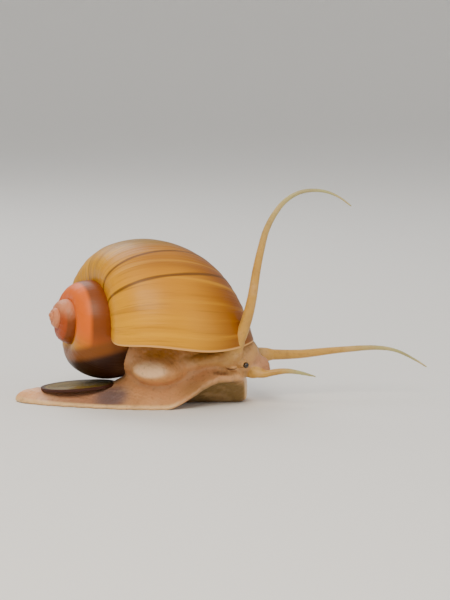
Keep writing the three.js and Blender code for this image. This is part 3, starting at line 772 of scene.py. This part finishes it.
# Feelers: each is a line through a few points, with its radii at even shares of the line. The thinnest tips
# are found a little too thick, because of the grid, and slimmed afterwards.
FEELERS = {
    "tentacle_right": (
        ((19.5, -7, 12.4), (22, -9.3, 15.2), (24, -10.4, 18.6), (26, -10.4, 23.9), (27.4, -10.2, 29.5),
         (28.7, -10, 37.5), (29.9, -10, 43.2), (31.2, -10, 48), (33.4, -10, 52.4), (36.3, -10, 56),
         (40, -10, 58.2), (43.9, -10, 58.8), (47.6, -10, 58.3), (50.9, -10, 56.8), (53.7, -10, 54.7)),
        (2.1, 1.75, 1.5, 1.3, 1.15, 1, 0.85, 0.7, 0.55, 0.4, 0.22),
    ),
    "tentacle_left": (
        ((26.5, 3, 12.2), (29.4, 4.2, 12.2), (40.5, 6, 12.1), (51.3, 8, 12.9), (62.1, 9, 13.4),
         (67.5, 9.5, 12.5), (72.5, 9.5, 10.1), (75.8, 9, 8.1)),
        (1.75, 1.55, 1.35, 1.2, 1.05, 0.9, 0.8, 0.65, 0.5, 0.4, 0.22),
    ),
    "palp_right": (
        ((26.5, -3.6, 9.4), (28.6, -5.2, 8.8), (30.6, -5.8, 8.5), (33.8, -6, 9.1), (37, -6, 9.4),
         (40.6, -6, 8.9), (44.6, -6, 7.9)),
        (1.9, 1.3, 0.95, 0.9, 0.75, 0.6, 0.45, 0.2),
    ),
    "palp_left": (
        ((26.8, -0.6, 9.4), (28.6, 1.6, 8.9), (29.4, 5.2, 8.5), (29, 10, 8), (28, 15, 7.1), (26.8, 19.5, 6)),
        (1.8, 1.2, 0.95, 0.85, 0.7, 0.55, 0.4, 0.2),
    ),
    "eye_stalk_right": (((23.4, -6.6, 12), (24.6, -8, 11.8), (25.7, -9.3, 11.6)), (1.7, 1.5, 1.2, 1.0)),
    "eye_stalk_left": (((23.6, 3.6, 13), (24.6, 5.2, 12.8), (25.4, 6.5, 12.6)), (1.7, 1.5, 1.2, 1.0)),
    "siphon": (((11, 6.5, 12), (13.5, 9.5, 12.2), (16, 11.2, 13), (18, 12, 14.4)), (2.6, 2.3, 2.1, 2.2)),
}
THINNEST_BUILT = 0.36
LINE_STEP = 0.9


def smooth_line(points, step):
    """Evenly spaced points on a smooth curve through the given ones."""
    p = np.array(points, float)
    p = np.vstack([2 * p[0] - p[1], p, 2 * p[-1] - p[-2]])
    t = np.linspace(0, 1, 40, endpoint=False)[:, None]
    pieces = []
    for a, b, c, d in zip(p, p[1:], p[2:], p[3:]):
        before, here, after = (np.linalg.norm(v) ** 0.5 for v in (b - a, c - b, d - c))
        leave = (b - a) / before - (c - a) / (before + here) + (c - b) / here
        arrive = (c - b) / here - (d - b) / (here + after) + (d - c) / after
        pieces.append(between(t, b, c, leave, arrive, here))
    fine = np.vstack(pieces + [p[-2]])
    along = np.concatenate([[0], np.cumsum(np.linalg.norm(np.diff(fine, axis=0), axis=1))])
    even = np.linspace(0, along[-1], max(6, int(along[-1] / step)))
    return np.stack([np.interp(even, along, fine[:, a]) for a in range(3)], -1)


feeler_lines = {}
for name, (points, radii) in FEELERS.items():
    line = smooth_line(points, LINE_STEP)
    shares = np.linspace(0, 1, len(line))
    radius = np.interp(shares, np.linspace(0, 1, len(radii)), radii)
    built = np.maximum(radius, THINNEST_BUILT)
    feeler_lines[name] = (line, radius, built)
    for i in range(len(line) - 1):
        melt(taper(line[i], line[i + 1], built[i], built[i + 1]), 0.9 if shares[i] < 0.12 else 0.05)

# The mantle's edge is a soft rim that lines the shell's mouth. The mouth is an upright slit between the lips,
# a groove parts the neck from the foot, and each eye sits in a cup.
RIM_RADIUS = 0.95
RIM_TURN = 0.03
RIM_SIDES = 90
lining = tube_length("lining", RIM_TURN, RIM_TURN + 0.05, 3, RIM_SIDES, -WALL - RIM_RADIUS - 0.1)
rim = mesh_values(lining.data.vertices, "co", 3)[1 : RIM_SIDES + 1] / MM
bpy.data.objects.remove(lining)
for start, end in zip(rim, np.roll(rim, -1, axis=0)):
    melt(taper(start, end, RIM_RADIUS, RIM_RADIUS), 0.6)
MOUTH_CENTRE = (32.2, -2.6, 9.4)
MOUTH_HALF = (1.6, 0.3, 1.7)
NECK_GROOVE = (
    (13.5, -10.6, 10.5), (17.5, -10.3, 10.2), (21.0, -10.6, 10.0), (24.5, -9.6, 9.9), (27.0, -7.6, 10.0),
)
GROOVE_RADIUS = 0.55
EYE_RADIUS = 0.8
EYES = {"eye_right": (25.9, -9.6, 11.6), "eye_left": (25.6, 6.8, 12.6)}
melt(ellipsoid(MOUTH_CENTRE, MOUTH_HALF), 0.5, cut=True)
groove_line = smooth_line(NECK_GROOVE, LINE_STEP)
for start, end in zip(groove_line, groove_line[1:]):
    melt(taper(start, end, GROOVE_RADIUS, GROOVE_RADIUS), 0.6, cut=True)
for centre in EYES.values():
    melt(ellipsoid(centre, [EYE_RADIUS * 0.96] * 3), 0.15, cut=True)
field = np.maximum(field, -grid_lines[2][None, None, :])


def skin_faces(values):
    """Corners and faces where the distances pass through nought, one corner in each cell that they cross."""
    inside = values < 0
    size = tuple(n - 1 for n in values.shape)
    full = np.zeros(size, np.int8)
    for i, j, k in np.ndindex(2, 2, 2):
        full += inside[i : i + size[0], j : j + size[1], k : k + size[2]]
    cells = np.argwhere((full > 0) & (full < 8))
    index = np.full(size, -1, np.int32)
    index[tuple(cells.T)] = np.arange(len(cells))
    total = np.zeros((len(cells), 3))
    crossings = np.zeros(len(cells))
    faces = []
    for a in range(3):
        b, c = (a + 1) % 3, (a + 2) % 3
        for p, q in np.ndindex(2, 2):
            start = cells.copy()
            start[:, b] += p
            start[:, c] += q
            end = start.copy()
            end[:, a] += 1
            v0, v1 = values[tuple(start.T)], values[tuple(end.T)]
            crossed = (v0 < 0) != (v1 < 0)
            spot = start.astype(float)
            spot[:, a] += np.where(crossed, v0 / np.where(crossed, v0 - v1, 1), 0)
            total[crossed] += spot[crossed]
            crossings += crossed
        lower = [slice(1, -1)] * 3
        upper = lower[:a] + [slice(2, None)] + lower[a + 1 :]
        edges = np.argwhere(inside[tuple(lower)] != inside[tuple(upper)]) + 1
        ring = []
        for p, q in ((0, 0), (-1, 0), (-1, -1), (0, -1)):
            cell = edges.copy()
            cell[:, b] += p
            cell[:, c] += q
            ring.append(index[tuple(cell.T)])
        quad = np.stack(ring, -1)
        leaving = inside[tuple(edges.T)]
        faces.append(np.where(leaving[:, None], quad, quad[:, ::-1]))
    return FLESH_LOW + CELL * total / crossings[:, None], np.vstack(faces)


def field_at(points):
    """Distance and its slope at points, read between the grid's values."""
    place_in_grid = (points - FLESH_LOW) / CELL
    cell = np.clip(np.floor(place_in_grid).astype(int), 0, counts - 2)
    share = place_in_grid - cell
    value = np.zeros(len(points))
    slope = np.zeros((len(points), 3))
    for corner in np.ndindex(2, 2, 2):
        v = field[tuple((cell + corner).T)]
        w = np.where(corner, share, 1 - share)
        value += v * w.prod(1)
        for a in range(3):
            others = w[:, (a + 1) % 3] * w[:, (a + 2) % 3]
            slope[:, a] += v * others * (1 if corner[a] else -1) / CELL
    return value, slope


SMOOTHINGS = 3
FEELER_REACH = 2.6
SHELL_GAP = 0.12
CUT_START, CUT_SIDES, CUT_ROWS = -0.004, 80, 30
skin_points, skin_quads = skin_faces(field)
from_corner, to_corner = skin_quads.ravel(), np.roll(skin_quads, -1, axis=1).ravel()
both_ways = np.concatenate([from_corner, to_corner]), np.concatenate([to_corner, from_corner])
neighbours = np.bincount(both_ways[0], minlength=len(skin_points))
for _ in range(SMOOTHINGS):
    sums_near = [np.bincount(both_ways[0], skin_points[both_ways[1], a], len(skin_points)) for a in range(3)]
    mean = np.stack(sums_near, -1) / neighbours[:, None]
    moved = skin_points + 0.6 * (mean - skin_points)
    value, slope = field_at(moved)
    skin_points = moved - slope * (value / np.maximum((slope**2).sum(1), 0.2))[:, None]
skin_points[:, 2] = np.maximum(skin_points[:, 2], 0)


def near_feelers(points):
    """For each long feeler: which points lie on it, and which step of its line is nearest each of them."""
    for name, (line, radius, built) in feeler_lines.items():
        if name.startswith(("tentacle", "palp")):
            above, below = points > line.min(0) - FEELER_REACH, points < line.max(0) + FEELER_REACH
            boxed = np.flatnonzero(np.all(above & below, axis=1))
            gaps = np.linalg.norm(points[boxed, None] - line[None], axis=2)
            step = gaps.argmin(1)
            on_it = gaps.min(1) < built[step] + 0.5
            yield line, radius, built, boxed[on_it], step[on_it]


for line, radius, built, picked, step in near_feelers(skin_points):
    way = line[np.minimum(step + 1, len(line) - 1)] - line[np.maximum(step - 1, 0)]
    way /= np.linalg.norm(way, axis=1)[:, None]
    off = skin_points[picked] - line[step]
    lengthways = (off * way).sum(1)[:, None] * way
    slimmed = (off - lengthways) * (radius[step] / built[step])[:, None]
    skin_points[picked] = line[step] + lengthways + slimmed

# The skin is granular and softly folded, least on the feelers and not at all on the sole.
GRANULE_HEIGHT = 0.09
FOLD_HEIGHT = 0.07
slope = field_at(skin_points)[1]
outward = slope / np.maximum(np.linalg.norm(slope, axis=1), 1e-6)[:, None]
smooth_share = np.zeros(len(skin_points))
for line, radius, built, picked, step in near_feelers(skin_points):
    smooth_share[picked] = ramp(step / len(line) / 0.1)
x, y, z = skin_points.T
granules = np.sin(x * 2.3 + 1.7 * np.sin(y * 1.1)) * np.sin(y * 2.7 + 1.3 * np.sin(z * 1.7))
granules *= np.sin(z * 2.9 + np.sin(x * 0.9))
folds = np.sin(x * 1.9 + 2.2 * np.sin(z * 0.35 + y * 0.2)) * ramp((z - 8) / 3) * ramp((x + 8) / 6)
raised = (GRANULE_HEIGHT * granules + FOLD_HEIGHT * folds) * ramp((z - 1.2) / 1.5) * (1 - smooth_share)
flesh = mesh_object("flesh", (skin_points + outward * raised[:, None]) * MM, skin_quads.tolist(), card)
joined(flesh, [wound_shell(SHELL_GAP, CUT_START, CUT_SIDES, CUT_ROWS)], "DIFFERENCE")

# Only the largest surface is kept, because the shell cuts a few scraps off inside its mouth.
edges = mesh_values(flesh.data.edges, "vertices", 2, int)
label = np.arange(len(flesh.data.vertices))
changed = True
while changed:
    fresh = label.copy()
    np.minimum.at(fresh, edges[:, 0], label[edges[:, 1]])
    np.minimum.at(fresh, edges[:, 1], label[edges[:, 0]])
    fresh = fresh[fresh]
    changed = (fresh != label).any()
    label = fresh
kept = label == np.bincount(label).argmax()
new_index = np.cumsum(kept) - 1
spots = mesh_values(flesh.data.vertices, "co", 3)[kept] / MM
kept_faces = [list(face.vertices) for face in flesh.data.polygons if kept[face.vertices[0]]]
kept_faces = [[int(new_index[v]) for v in face] for face in kept_faces]
bpy.data.objects.remove(flesh)

# Snail skin, moist: thin slime over soft tissue, with granules about 0.65 mm across. It is tan, pinkish
# towards the tail, with a cream margin, golden feelers that turn grey at their tips, a painted highlight on
# the shoulder and painted shade under the lip, on the head's far side, under the lifted sole, in the neck
# groove and on the flank under the shell.
GRANULE_MM = 0.65
WRINKLE_MM = 1.9
MOTTLE_MM = 6.25
FRECKLE_MM = 1.1111
skin, tree, shader = new_material(
    "snail_skin_moist",
    IOR=1.38,
    Coat_Weight=0.15,
    Coat_Roughness=0.25,
    Subsurface_Weight=0.12,
    Subsurface_Radius=(0.0014, 0.0007, 0.0004),
    Subsurface_Scale=1.0,
)
flesh = mesh_object("flesh", spots * MM, kept_faces, skin)
SKIN_ZONES = (
    ("tail", (-24, 0, 0), (13, 30, 30), 0.9, "#B27E60"),
    ("tail_tip", (-38, 0, 0), (8, 30, 30), 0.9, "#E4A670"),
    ("shaded_flank", (-11, -12, 4.8), (6, 8, 4.5), 0.95, "#6E5A58"),
    # painted shade: brown on the flesh under the shell's lip
    ("under_lip", (9, -8, 17), (15, 12, 5.2), 0.9, "#A46608"),
    # painted highlight: a pale patch on the shoulder, inside a softer tan rim
    ("shoulder_highlight_rim", (3, -13, 10.2), (9, 7, 3.6), 0.7, "#D89A5C"),
    ("shoulder", (0, -13, 10.8), (4.6, 6, 2.2), 0.9, "#FFD2A0"),
    ("neck_fold", (17, -10.5, 13.3), (8, 4, 2), 0.6, "#C49350"),
    ("head", (24, -4, 13.5), (8, 9, 6), 0.6, "#BF9150"),
    # painted shade: darker olive on the head's far side
    ("head_far_side_shade", (27, 2.5, 15), (5, 5, 5), 0.85, "#7D662C"),
    ("snout", (30.5, -3, 10), (4.5, 5, 4), 0.8, "#B07A58"),
    # painted shade: dark olive under the lifted front of the sole
    ("lifted_sole_shade", (18.5, -6.5, 2.5), (10.5, 8.5, 5.6), 0.9, "#6E5824"),
)
x, y, z = spots.T
place = add_node(tree, "ShaderNodeTexCoord")["Object"]
mottle, freckle, wrinkles = [
    add_node(tree, "ShaderNodeTexNoise", {"Vector": place, "Scale": 1 / (size * MM), "Detail": detail})[0]
    for size, detail in ((MOTTLE_MM, 3.0), (FRECKLE_MM, 2.0), (WRINKLE_MM, 3.0))
]
layers = []
for name, centre, reach, share, hex_colour in SKIN_ZONES:
    distance = np.linalg.norm((spots - centre) / reach, axis=1)
    store(flesh.data, name, ramp((1.4 - distance) / 0.8), "POINT")
    layers.append((name, 0.0, 1.0, share, hex_colour))
# Painted shade in the crease: the groove between neck and foot is darkened.
groove_gap = np.full(len(spots), 9.0)
by_groove = np.flatnonzero((x > 11) & (y < -5) & (z > 7) & (z < 14))
groove_gap[by_groove] = np.linalg.norm(spots[by_groove, None] - groove_line[None], axis=2).min(1)
store(flesh.data, "groove", ramp((1.5 - groove_gap) / 0.9), "POINT")
margin = ramp((np.abs(y) - through(FOOT_HALF_WIDTH, x) + 1.5) / 1.1)
margin = margin * ramp((3.2 - z) / 1.2) * ramp((12 - x) / 8)
margin = np.maximum(margin, ramp((x - 25.0) / 1.2) * ramp((9.5 - z) / 2))
feeler_here, feeler_share = np.zeros(len(spots)), np.zeros(len(spots))
for line, radius, built, picked, step in near_feelers(spots):
    feeler_share[picked] = step / (len(line) - 1)
    feeler_here[picked] = ramp(feeler_share[picked] / 0.14)
feeler_tip = feeler_here * ramp((feeler_share - 0.3) / 0.65)
for name, values in {"margin": margin, "feeler": feeler_here, "feeler_tip": feeler_tip}.items():
    store(flesh.data, name, values, "POINT")
layers += [
    # painted shade: dark brown in the groove between neck and foot
    ("groove", 0.0, 1.0, 0.85, "#4A2A10"),
    ("margin", 0.0, 1.0, 0.85, "#E6BC82"),
    ("feeler", 0.0, 1.0, 1.0, "#C4933F"),
    ("feeler_tip", 0.0, 1.0, 1.0, "#ACA670"),
    (mottle, 0.52, 0.70, 0.25, "#E6BB8C"),
    (mottle, 0.48, 0.30, 0.25, "#865C3C"),
    (freckle, 0.56, 0.70, 0.22, "#6E4E30"),
]
tree.links.new(layered(tree, linear("#CE9664"), layers), shader.inputs["Base Color"])
rough = add_node(tree, "ShaderNodeMath", (mottle, 0.25, 0.32), operation="MULTIPLY_ADD")[0]
tree.links.new(rough, shader.inputs["Roughness"])
cobbles = {"Vector": place, "Scale": 1 / (GRANULE_MM * MM)}
cobbles = add_node(tree, "ShaderNodeTexVoronoi", cobbles, feature="SMOOTH_F1")[0]
relief = add_node(tree, "ShaderNodeMath", (cobbles, -0.6, wrinkles), operation="MULTIPLY_ADD")[0]
bump = add_node(tree, "ShaderNodeBump", {"Height": relief, "Strength": 0.5, "Distance": 0.28 * MM})[0]
tree.links.new(bump, shader.inputs["Normal"])
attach(flesh, "root")
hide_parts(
    "foot_tail", "foot_middle", "foot_front", "body_stalk", "head", "snout", "mantle_edge",
    "tentacle_right_base", "tentacle_right_lower", "tentacle_right_upper", "tentacle_right_tip",
    "tentacle_left_base", "tentacle_left_middle", "tentacle_left_tip",
    "palp_right", "palp_left", "eye_stalk_right", "eye_stalk_left", "siphon",
)

# Eyes: small wet balls, black with a thin golden ring, set in the ends of their stalks.
# The clear skin over each makes it glossy and bulges a little over the pupil.
RING_FROM, RING_TO = (0.70, 0.76), (0.86, 0.90)
EYE_RINGS, EYE_SIDES = 24, 40
EYE_LOOK = {"eye_right": (0.35, -0.92, 0.15), "eye_left": (0.35, 0.92, 0.15)}
wet_eye, tree, shader = new_material("snail_eye_wet", Roughness=0.2, Coat_Weight=0.3, Coat_Roughness=0.1)
eye_layers = (("sight", *RING_FROM, 0.35, "#7A5418"), ("sight", *RING_TO, 1.0, "#0E0805"))
tree.links.new(layered(tree, linear("#160C06"), eye_layers), shader.inputs["Base Color"])
eye_profile = []
for step in range(EYE_RINGS + 1):
    lean = math.pi * (1 - step / EYE_RINGS)
    bulge = EYE_RADIUS * (1 + 0.06 * max(0, math.cos(lean)) ** 6)
    eye_profile.append((bulge * math.sin(lean), bulge * math.cos(lean)))
for name, centre in EYES.items():
    points, faces = turned(eye_profile[:-1], EYE_SIDES)
    tip = len(points)
    points.append((0.0, 0.0, eye_profile[-1][1]))
    faces = [face[::-1] for face in faces]
    faces += [(tip - EYE_SIDES + j, tip - EYE_SIDES + (j + 1) % EYE_SIDES, tip) for j in range(EYE_SIDES)]
    look = Vector(EYE_LOOK[name]).to_track_quat("Z", "Y")
    placed = [(look @ Vector(p) + Vector(centre)) * MM for p in points]
    eye = mesh_object(name + "_ball", placed, faces, wet_eye)
    store(eye.data, "sight", [p[2] / EYE_RADIUS for p in points], "POINT")
    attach(eye, "root")
    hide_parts(name)

# Operculum: the oval lid of horn that a live snail carries on its tail and shuts its shell with. It grows
# in rings round a start near one side, so it is ridged, a little dished, and thin at its edge.
LID_CENTRE = np.array([-19.8, -0.5, 4.4])
LID_SLOPE = math.radians(4)
LID_SIZES = {
    "Half Length": 10.2 * MM,
    "Half Width": 7.4 * MM,
    "Thickness": 0.7 * MM,
    "Ring Step": 0.55 * MM,
    "Ring Height": 0.05 * MM,
    "Start Off Centre": -2.4 * MM,
    "Dish": 0.1 * MM,
    "Rows": 49,
    "Columns": 145,
}
BLOTCH_MM = 4.5455
RING_BANDS = 16.0

# Horn, satin: olive brown rings, darker and redder at the edge, partly the horn's own rim and partly painted
# shade of the gap under it.
horn, tree, shader = new_material(
    "horn_satin",
    Roughness=0.5,
    Specular_IOR_Level=0.3,
    Coat_Weight=0.05,
    Subsurface_Weight=0.08,
    Subsurface_Radius=(0.0015, 0.0008, 0.0003),
    Subsurface_Scale=1.0,
)
ring_at = add_node(tree, "ShaderNodeAttribute", attribute_name="ring")["Fac"]
ring_place = add_node(tree, "ShaderNodeMath", (ring_at, RING_BANDS), operation="MULTIPLY")[0]
ring_noise = {"W": ring_place, "Scale": 1.0, "Detail": 3.0}
ring_noise = add_node(tree, "ShaderNodeTexNoise", ring_noise, noise_dimensions="1D")[0]
place = add_node(tree, "ShaderNodeTexCoord")["Object"]
blotch = {"Vector": place, "Scale": 1 / (BLOTCH_MM * MM), "Detail": 2.0}
blotch = add_node(tree, "ShaderNodeTexNoise", blotch)[0]
horn_layers = (
    (ring_noise, 0.35, 0.65, 1.0, "#806830"),
    (blotch, 0.50, 0.70, 0.4, "#54441E"),
    # dark edge: partly the horn's brown rim, partly painted shade under the lid's edge
    (ring_at, 0.86, 0.94, 1.0, "#3E1A08"),
)
tree.links.new(layered(tree, linear("#5C4C1C"), horn_layers), shader.inputs["Base Color"])
bump = add_node(tree, "ShaderNodeBump", {"Height": ring_noise, "Strength": 0.3, "Distance": 0.2 * MM})[0]
tree.links.new(bump, shader.inputs["Normal"])

# A flat sheet is bent into the oval: its X becomes the share out from the start, its Y the way round.
LID_SUMS = (
    ("spin", "MULTIPLY", "y", TWO_PI),
    ("cosine", "COSINE", "spin"),
    ("sine", "SINE", "spin"),
    ("long reach", "MULTIPLY", "x", "Half Length"),
    ("wide reach", "MULTIPLY", "x", "Half Width"),
    ("left over", "SUBTRACT", 1.0, "x"),
    ("aside", "MULTIPLY", "left over", "Start Off Centre"),
    ("lid x", "MULTIPLY", "long reach", "cosine"),
    ("lid y", "MULTIPLY_ADD", "wide reach", "sine", "aside"),
    ("rings", "DIVIDE", "wide reach", "Ring Step"),
    ("rings", "MULTIPLY", "rings", TWO_PI),
    ("ridge", "SINE", "rings"),
    ("dip", "MULTIPLY_ADD", "x", "x", -1.0),
    ("dip", "MULTIPLY", "dip", "Dish"),
    ("lid z", "MULTIPLY_ADD", "ridge", "Ring Height", "dip"),
    ("lowered", "MULTIPLY", "Thickness", -1.0),
)
lid_tree, sheet, sums, lid_keys = sheet_tree("horn_lid", LID_SIZES, LID_SUMS)
bent = add_node(lid_tree, "ShaderNodeCombineXYZ", (sums["lid x"], sums["lid y"], sums["lid z"]))[0]
lowered = add_node(lid_tree, "ShaderNodeCombineXYZ", {2: sums["lowered"]})[0]
raised = add_node(lid_tree, "ShaderNodeCombineXYZ", {2: sums["Thickness"]})[0]
sheet = {"Geometry": sheet, "Name": "ring", "Value": sums["x"]}
sheet = add_node(lid_tree, "GeometryNodeStoreNamedAttribute", sheet, data_type="FLOAT", domain="POINT")[0]
sheet = add_node(lid_tree, "GeometryNodeSetPosition", {"Geometry": sheet, "Position": bent})[0]
sheet = add_node(lid_tree, "GeometryNodeMergeByDistance", {"Geometry": sheet, "Distance": 1e-6})[0]
under = add_node(lid_tree, "GeometryNodeSetPosition", {"Geometry": sheet, "Offset": lowered})[0]
walls = {"Mesh": under, "Offset": raised, "Offset Scale": 1.0, "Individual": False}
walls = add_node(lid_tree, "GeometryNodeExtrudeMesh", walls, mode="FACES")[0]
under = add_node(lid_tree, "GeometryNodeFlipFaces", (under,))[0]
whole = add_node(lid_tree, "GeometryNodeJoinGeometry", (under,))[0]
lid_tree.links.new(walls, whole.node.inputs[0])
whole = add_node(lid_tree, "GeometryNodeMergeByDistance", {"Geometry": whole, "Distance": 1e-6})[0]
end_tree(lid_tree, whole, horn)

operculum = shaped("operculum_horn", lid_tree, lid_keys, LID_SIZES)
lid_mesh = operculum.data
x, y, z = mesh_values(lid_mesh.vertices, "co", 3).T / MM
z += LID_SIZES["Thickness"] / MM / 2
sloped = np.stack([
    x * math.cos(LID_SLOPE) - z * math.sin(LID_SLOPE),
    y,
    x * math.sin(LID_SLOPE) + z * math.cos(LID_SLOPE),
], -1)
lid_mesh.vertices.foreach_set("co", ((sloped + LID_CENTRE) * MM).ravel())
lid_mesh.polygons.foreach_set("use_smooth", [True] * len(lid_mesh.polygons))
lid_mesh.set_sharp_from_angle(angle=math.radians(50))
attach(operculum, "root")
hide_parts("operculum")
